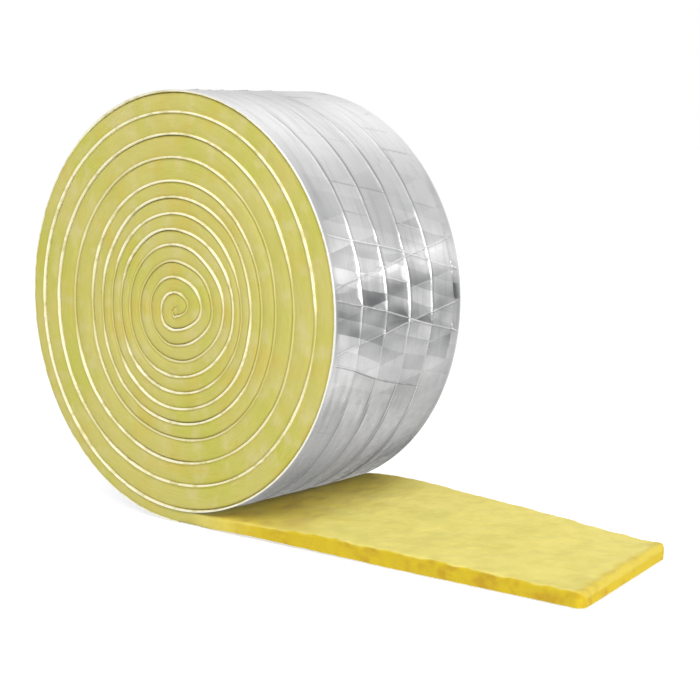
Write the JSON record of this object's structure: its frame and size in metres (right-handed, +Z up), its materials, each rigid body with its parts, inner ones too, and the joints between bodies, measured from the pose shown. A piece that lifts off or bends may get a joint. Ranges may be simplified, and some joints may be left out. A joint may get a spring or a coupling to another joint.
{
  "type": "pipe insulation tape",
  "caption": "Coil of foil-faced glass-wool tape for wrapping pipes, standing on its edge with one loose end lying flat in front of it.",
  "frame": {"origin": "on the floor, under the middle of the whole thing", "axes": "+X along the loose end, away from the coil; +Y along the coil's axis, away from the end that shows the turns running clockwise inwards; +Z up"},
  "size_m": [0.2758, 0.0762, 0.1716],
  "materials": {
    "glass_wool": "matte fibrous",
    "foil_facing": "bright foil over a scrim"
  },
  "bodies": {
    "root": {"glass_wool": "glass_wool", "foil_facing": "foil_facing"}
  },
  "joints": []
}
